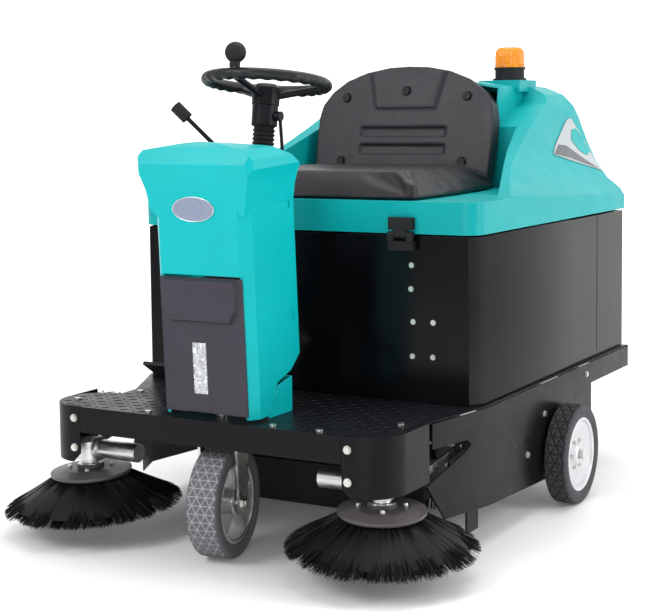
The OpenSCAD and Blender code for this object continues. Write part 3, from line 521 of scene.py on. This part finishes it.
def side_brush(sign, side):
    rng = np.random.default_rng(11 + sign)
    tufts, per = 200, 34
    ring = rng.integers(0, 3, tufts)
    base_a = np.arange(tufts) * 2 * math.pi / tufts * 1.0 + rng.uniform(-0.01, 0.01, tufts)
    a = np.repeat(base_a, per) + rng.normal(0, 0.030, tufts * per)
    r0 = np.repeat(0.070 + ring * 0.008, per) + rng.uniform(-0.0015, 0.0015, tufts * per)
    steep = np.repeat(ring, per)
    reach = 0.211 - 0.020 * (2 - steep) - rng.exponential(0.006, tufts * per)
    drop = -0.082 - 0.005 * (2 - steep) + np.clip(rng.normal(0, 0.0030, tufts * per), -0.005, 0.004)
    twist = a + rng.normal(0, 0.035, tufts * per)

    def unit(t):
        return np.stack([np.cos(t), np.sin(t), 0 * t], -1)

    roots = unit(a) * r0[:, None] + np.array([0, 0, -0.0095])
    tips = unit(twist) * reach[:, None] + np.stack([0 * a, 0 * a, drop], -1)
    bends = unit(a) * (r0 + (reach - r0) * 0.55)[:, None] + np.stack([0 * a, 0 * a, drop * 0.54 - 0.009], -1)
    hair = ribbons(f"bristles_{side}", roots, tips, bends, 0.0016, BRISTLE)
    core = lathe("core", [(0.060, -0.0104), (0.086, -0.0104), (0.160, -0.052), (0.184, -0.070), (0.130, -0.062),
                          (0.060, -0.034), (0.060, -0.0104)], BRISTLE, 90)
    obj = join(f"bristles_{side}", [hair, core])
    turned(obj, brush_matrix(sign))
    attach(obj, f"side_brush_{side}")
    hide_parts(f"side_bristles_{side}")
    collar = lathe(f"hub_collar_{side}", [(0.0072, 0.0178), (0.030, 0.0178), (0.031, 0.0165), (0.031, 0.0088)],
                   TURNED, 72)
    nuts = [collar]
    for k in range(4):
        a = k * math.pi / 2 + 0.5
        nut = lathe("n", [(0, 0.014), (0.0045, 0.014), (0.0055, 0.012), (0.0055, 0.006)], ZINC, 6)
        nuts.append(turned(nut, Matrix.Translation((0.050 * math.cos(a), 0.050 * math.sin(a), 0))))
    collar = join(f"hub_collar_{side}", nuts)
    turned(collar, brush_matrix(sign))
    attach(collar, f"side_brush_{side}")


side_brush(1, "left")
side_brush(-1, "right")


def roller_brush():
    rng = np.random.default_rng(3)
    rows, per_row = 10, 420
    parts = []
    x = np.tile(np.linspace(-0.266, 0.266, per_row), rows) + rng.normal(0, 0.0008, rows * per_row)
    row = np.repeat(np.arange(rows), per_row)
    a = row * 2 * math.pi / rows + np.abs(x) * 3.2 + rng.normal(0, 0.012, rows * per_row)
    unit = np.stack([0 * a, np.cos(a), np.sin(a)], -1)
    shift = np.stack([x, 0 * a, 0 * a], -1) + np.array([0, -0.020, 0.122])
    length = 0.1175 - rng.exponential(0.0015, rows * per_row)
    roots, tips = shift + unit * 0.040, shift + unit * length[:, None]
    return ribbons("roller_bristles", roots, tips, (roots + tips) / 2, 0.0035, BRISTLE)


roller = roller_brush()
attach(roller, "roller_brush")
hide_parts("main_brush_bristles")

# ---------- steering wheel ----------


def steering_grip():
    """Rim with finger bumps along its underside."""
    big, small = 0.138, 0.0138
    rows, cols = 288, 28
    a = np.linspace(0, 2 * math.pi, rows, endpoint=False)[:, None]
    b = np.linspace(0, 2 * math.pi, cols, endpoint=False)[None, :]
    under = np.clip(-np.sin(b - 0.35), 0, 1) ** 0.7
    r = small - 0.0027 * under * (0.5 + 0.5 * np.cos(a * 28))
    ring = big + r * np.cos(b)
    v = np.stack([ring * np.cos(a), ring * np.sin(a), r * np.sin(b) + 0 * a], -1).reshape(-1, 3)
    return mesh_object("steering_grip", v, grid_faces(rows, cols, True, True), GRIP)


grip = turned(steering_grip(), column_matrix())
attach(grip, "steering")
post = lathe("knob_post", [(0, -0.002), (0.0052, -0.002), (0.0052, 0.0145)], ZINC, 32)
turned(post, column_matrix() @ Matrix.Translation((0, -0.138, 0)))
grip = join("steering_grip", [grip, post])
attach(grip, "steering")
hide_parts("steering_rim")

# ---------- beacon and headlamp ----------


def beacon():
    """Ribbed amber dome on a grooved skirt."""
    steps, ribs = 240, 40
    profile = np.array([(0.0412, 0.000), (0.0416, 0.004), (0.0392, 0.006), (0.0392, 0.012), (0.0398, 0.014),
                        (0.0392, 0.016), (0.0388, 0.028), (0.0394, 0.030), (0.0388, 0.032), (0.0380, 0.042),
                        (0.0360, 0.049), (0.0310, 0.0540), (0.0200, 0.0555), (0.0, 0.0556)])
    a = np.linspace(0, 2 * math.pi, steps, endpoint=False)
    side = ((profile[:, 1] > 0.005) & (profile[:, 1] < 0.047)).astype(float)[None, :]
    r = profile[:, 0][None, :] + 0.0007 * side * np.sign(np.cos(a * ribs))[:, None]
    h = np.broadcast_to(profile[:, 1], r.shape)
    v = np.stack([r * np.cos(a)[:, None], r * np.sin(a)[:, None], h], -1).reshape(-1, 3)
    dome = mesh_object("beacon_dome", v, grid_faces(steps, len(profile), True), AMBER)
    inner = lathe("reflector", [(0, 0.001), (0.022, 0.001), (0.020, 0.030), (0.008, 0.036), (0, 0.036)], TURNED, 40)
    return join("beacon_dome", [dome, inner])


dome = turned(beacon(), Matrix.Translation((BODY_X + 0.200, 0.560, 1.108)))
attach(dome, "seat_hood")
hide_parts("beacon_lens")


def lamp_facets():
    """Clear lamp cover with uneven facets over a bright reflector."""
    rng = np.random.default_rng(5)
    rows, cols = 26, 8
    z = np.linspace(0.0500, 0.1640, rows)[:, None] + 0 * np.arange(cols)
    x = np.linspace(-0.0312, 0.0032, cols)[None, :] + 0 * np.arange(rows)[:, None]
    z[1:-1, 1:-1] += rng.uniform(-0.0014, 0.0014, (rows - 2, cols - 2))
    x[1:-1, 1:-1] += rng.uniform(-0.0014, 0.0014, (rows - 2, cols - 2))
    y = 0.0012 + rng.uniform(0, 0.0030, (rows, cols))
    v = np.stack([x, y, z], -1).reshape(-1, 3)
    front = mesh_object("lamp_facets", v, grid_faces(rows, cols), LAMP, smooth=False)
    back = mesh_object("lamp_back", [(-0.0315, 0.0055, 0.0495), (0.0035, 0.0055, 0.0495), (0.0035, 0.0055, 0.1645),
                                     (-0.0315, 0.0055, 0.1645)], [(0, 1, 2, 3)], TURNED, smooth=False)
    return join("lamp_facets", [front, back])


lamp = turned(lamp_facets(), dash_matrix())
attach(lamp, "chassis")
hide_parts("headlamp_lens")


def access_panel():
    """Moulded panel: a brow with tapered lower corners, and a channel round the lamp below it."""
    xs = np.concatenate([[-0.107], np.linspace(-0.107, 0.107, 150), [0.107]])
    zs = np.concatenate([[0.008], np.linspace(0.008, 0.309, 210), [0.309]])
    x, z = np.meshgrid(xs, zs)
    taper = 0.014 * smooth_step(-z, -0.246, -0.212)
    brow = box_distance(x * 0.094 / (0.094 - taper), z, -0.002, 0.259, 0.094, 0.047, 0.006)
    brow = 1 - smooth_step(brow, -0.0050, 0.0035)
    channel = 1 - smooth_step(box_distance(x, z, -0.014, 0.09, 0.031, 0.15, 0.004), -0.0045, 0.0010)
    lamp = 1 - smooth_step(box_distance(x, z, -0.014, 0.107, 0.0185, 0.0585, 0.002), -0.0014, 0.0004)
    y = -0.012 * brow + 0.0026 * channel * (1 - brow)
    y = y * (1 - lamp) + 0.0058 * lamp
    y[[0, -1], :] = 0.004
    y[:, [0, -1]] = 0.004
    return mesh_object("panel_mould", np.stack([x, y, z], -1).reshape(-1, 3), grid_faces(len(zs), len(xs)), PANEL)


panel = turned(access_panel(), dash_matrix())
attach(panel, "chassis")
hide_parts("dash_access_panel")

# ---------- badge rim and decals, both blank ----------


def badge_rim():
    steps, cols = 96, 10
    a = np.linspace(0, 2 * math.pi, steps, endpoint=False)[:, None]
    b = np.linspace(0, 2 * math.pi, cols, endpoint=False)[None, :]
    x = -0.008 + (0.0535 + 0.0010 * np.cos(b)) * np.cos(a)
    z = 0.459 + (0.0265 + 0.0010 * np.cos(b)) * np.sin(a)
    y = -0.0020 + 0.0009 * np.sin(b) + 0 * a
    v = np.stack([x, y, z], -1).reshape(-1, 3)
    return turned(mesh_object("badge_rim", v, grid_faces(steps, cols, True, True), TURNED), dash_matrix())


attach(badge_rim(), "chassis")

HUMP = ((0.748, 0.464), (0.768, 0.452), (0.800, 0.412), (0.850, 0.378), (0.900, 0.354), (0.950, 0.338),
        (1.000, 0.326), (1.032, 0.304))  # half width of the hump at each height


def hump_x(z):
    return np.interp(z, [p[0] for p in HUMP], [p[1] for p in HUMP])


def decal(name, outline, lift, sign, material):
    """A thin film that follows the hump's side, cut to an outline in Y and Z."""
    bm = bmesh.new()
    face = bm.faces.new([bm.verts.new((0, y, z)) for y, z in outline])
    bmesh.ops.triangulate(bm, faces=[face])
    bmesh.ops.subdivide_edges(bm, edges=bm.edges[:], cuts=10, use_grid_fill=True)
    for v in bm.verts:
        v.co.x = BODY_X + sign * (float(hump_x(v.co.z)) + lift)
    mesh = bpy.data.meshes.new(name)
    bm.to_mesh(mesh)
    bm.free()
    mesh.materials.append(material)
    obj = bpy.data.objects.new(name, mesh)
    bpy.context.scene.collection.objects.link(obj)
    mesh.shade_smooth()
    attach(obj, "seat_hood")


for sign, side in ((1, "left"), (-1, "right")):
    decal(f"decal_film_{side}", [(0.455, 0.872), (0.475, 0.884), (0.640, 0.962), (0.676, 0.966), (0.735, 0.900),
                                 (0.752, 0.832), (0.748, 0.818)], 0.0022, sign, DECAL_GREY)
    decal(f"decal_tip_{side}", [(0.462, 0.873), (0.520, 0.896), (0.572, 0.892), (0.735, 0.824), (0.560, 0.860)],
          0.0032, sign, DECAL_DARK)
    decal(f"decal_swoop_{side}", [(0.628, 0.905), (0.652, 0.934), (0.690, 0.938), (0.722, 0.912), (0.738, 0.872),
                                  (0.700, 0.862), (0.660, 0.874)], 0.0032, sign, TEAL_HOOD)

# ---------- seat ----------


def evaluated_copy(name, source, modifiers):
    """A copy of a mesh with modifiers applied."""
    obj = source.copy()
    obj.data = source.data.copy()
    obj.name = name
    obj.parent = None
    obj.modifiers.clear()
    for key in list(obj.keys()):
        del obj[key]
    bpy.context.scene.collection.objects.link(obj)
    for kind, settings in modifiers:
        modifier = obj.modifiers.new(kind.lower(), kind)
        for key, value in settings.items():
            setattr(modifier, key, value)
    return apply_all(obj)


def apply_all(obj):
    graph = bpy.context.evaluated_depsgraph_get()
    mesh = bpy.data.meshes.new_from_object(obj.evaluated_get(graph))
    obj.modifiers.clear()
    obj.data = mesh
    return obj


def coordinates(obj):
    co = np.zeros(len(obj.data.vertices) * 3)
    obj.data.vertices.foreach_get("co", co)
    return co.reshape(-1, 3)


def set_coordinates(obj, co):
    obj.data.vertices.foreach_set("co", co.reshape(-1))
    obj.data.update()


def seat_back_mould():
    """The moulded seat back: soft rim, tapered panel at the top, two long recesses and bolt pockets."""
    obj = evaluated_copy("seat_back_mould", nodes["seat_back"], [
        ("WELD", {"merge_threshold": 0.00002}),
        ("DECIMATE", {"decimate_type": "DISSOLVE", "angle_limit": math.radians(1)}),
        ("BEVEL", {"width": 0.011, "segments": 4, "limit_method": "ANGLE", "angle_limit": math.radians(50)}),
        ("REMESH", {"mode": "VOXEL", "voxel_size": 0.0030, "use_smooth_shade": True}),
        ("SMOOTH", {"factor": 0.5, "iterations": 6}),
    ])
    place = Matrix.Translation(SEAT_FOOT) @ Matrix.Rotation(SEAT_RECLINE, 4, "X")
    obj.data.transform(place.inverted())
    co = coordinates(obj)
    x, y, z = co[:, 0], co[:, 1], co[:, 2]
    front = smooth_step(-y, -0.006, -0.001)
    side = np.abs(x) - (0.098 + 0.24 * (z - 0.190))
    panel = np.maximum(side, 0.168 - z)
    push = 0.0045 * (1 - smooth_step(np.abs(panel + 0.004), 0.0015, 0.0052))
    push += 0.0016 * (1 - smooth_step(panel, -0.016, -0.010))
    for cz in (0.108, 0.060):
        d = box_distance(x, z, 0.0, cz, 0.128, 0.0145, 0.006)
        push += 0.0075 * (1 - smooth_step(d, -0.0075, 0.0015))
    for bx, bz in ((-0.183, 0.205), (0.183, 0.205), (0, 0.222), (-0.183, 0.026), (0.183, 0.026)):
        d = np.hypot(x - bx, z - bz)
        push += 0.0050 * (1 - smooth_step(d, 0.0085, 0.0135))
    co[:, 1] = y + push * front
    set_coordinates(obj, co)
    obj.data.transform(place)
    obj.data.materials.clear()
    obj.data.materials.append(SEAT_BACK)
    obj.data.shade_smooth()
    return obj


back = seat_back_mould()
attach(back, "seat_hood")
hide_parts("seat_back")


def cushion():
    """Seat cushion, swollen by a cloth simulation and held flat where it rests on the hood."""
    obj = evaluated_copy("seat_cushion_pad", nodes["seat_cushion"], [
        ("WELD", {"merge_threshold": 0.00002}),
        ("DECIMATE", {"decimate_type": "DISSOLVE", "angle_limit": math.radians(1)}),
        ("BEVEL", {"width": 0.012, "segments": 4, "limit_method": "ANGLE", "angle_limit": math.radians(50)}),
        ("REMESH", {"mode": "VOXEL", "voxel_size": 0.0058, "use_smooth_shade": True}),
    ])
    co = coordinates(obj)
    rest = co.copy()
    low = co[:, 2].min()
    held = obj.vertex_groups.new(name="held")
    held.add([int(i) for i in np.where(co[:, 2] < low + 0.008)[0]], 1.0, "REPLACE")
    cloth = obj.modifiers.new("cloth", "CLOTH")
    cloth.settings.vertex_group_mass = "held"
    cloth.settings.use_pressure = True
    cloth.settings.uniform_pressure_force = 4
    cloth.settings.effector_weights.gravity = 0
    cloth.settings.quality = 4
    cloth.settings.tension_stiffness = 20
    cloth.settings.bending_stiffness = 1.5
    scene = bpy.context.scene
    for number in range(1, 21):
        scene.frame_set(number)
    apply_all(obj)
    scene.frame_set(1)
    co = coordinates(obj)
    move = co - rest
    far = np.linalg.norm(move, axis=1)[:, None] + 1e-9
    co = rest + move * np.minimum(1, 0.024 / far)
    co[:, 2] = np.maximum(co[:, 2], low)
    set_coordinates(obj, co)
    obj.data.materials.clear()
    obj.data.materials.append(SEAT_SKIN)
    obj.modifiers.new("smooth", "SUBSURF").levels = 1
    apply_all(obj)
    obj.data.shade_smooth()
    return obj


def seat_gap_shade():
    """Strip of black rubber material that fills the gap between cushion and seat back: painted shade, a dark sheet
    where the gap lies in shade.
    """
    x, y, z = 0.262, (0.2840, 0.3340), (0.7854, 0.7890)
    verts = [(sx * x, py, pz) for pz in z for sx, py in ((-1, y[0]), (1, y[0]), (1, y[1]), (-1, y[1]))]
    faces = [(3, 2, 1, 0), (4, 5, 6, 7)] + [(k, (k + 1) % 4, (k + 1) % 4 + 4, k + 4) for k in range(4)]
    return mesh_object("seat_gap_shade", verts, faces, RUBBER, smooth=False)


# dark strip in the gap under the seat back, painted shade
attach(seat_gap_shade(), "seat_hood")
pad = cushion()
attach(pad, "seat_hood")
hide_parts("seat_cushion")

# ---------- studio ----------

sweep = [(-30, 0), (9, 0), (10.5, 0.2), (11.6, 0.9), (12, 2), (12, 16)]
floor = mesh_object("floor", [(x, y, z) for y, z in sweep for x in (-30, 30)], grid_faces(len(sweep), 2)[:, ::-1],
                    floor_material(), smooth=False)

scene = bpy.context.scene
scene.world = bpy.data.worlds.new("studio")
scene.world.use_nodes = True
scene.world.node_tree.nodes["Background"].inputs["Color"].default_value = (1, 1, 1, 1)
scene.world.node_tree.nodes["Background"].inputs["Strength"].default_value = 0.60


def area(name, location, target, size, power, size_y=None):
    light = bpy.data.lights.new(name, "AREA")
    light.energy = power
    light.size = size
    if size_y:
        light.shape = "RECTANGLE"
        light.size_y = size_y
    obj = bpy.data.objects.new(name, light)
    obj.location = location
    obj.rotation_euler = (Vector(target) - Vector(location)).to_track_quat("-Z", "Y").to_euler()
    scene.collection.objects.link(obj)


area("key", (-1.6, -3.6, 3.2), (0, -0.2, 0.6), 2.0, 88)
area("right_strip", (3.2, 0.2, 1.5), (0.3, 0.1, 0.6), 0.6, 44, 2.4)
area("top", (0.2, 0.4, 3.6), (0, 0, 0.5), 2.6, 60)
area("front_low", (1.2, -3.4, 0.6), (0.1, -0.5, 0.4), 1.4, 20)

camera = bpy.data.cameras.new("camera")
holder = bpy.data.objects.new("camera", camera)
scene.collection.objects.link(holder)
azimuth, elevation, roll = math.radians(30.0), math.radians(4.77), math.radians(-0.64)
away = Vector((math.sin(azimuth) * math.cos(elevation), -math.cos(azimuth) * math.cos(elevation),
               math.sin(elevation)))
turn = (-away).to_track_quat("-Z", "Y").to_matrix().to_4x4() @ Matrix.Rotation(roll, 4, "Z")
holder.matrix_world = Matrix.Translation((1.831, -3.319, 0.994)) @ turn
camera.sensor_fit = "HORIZONTAL"
camera.sensor_width = 36
camera.lens = 82.7
camera.shift_x = 0.0123
camera.shift_y = -0.110
camera.clip_end = 100
scene.camera = holder
scene.view_settings.view_transform = "Standard"
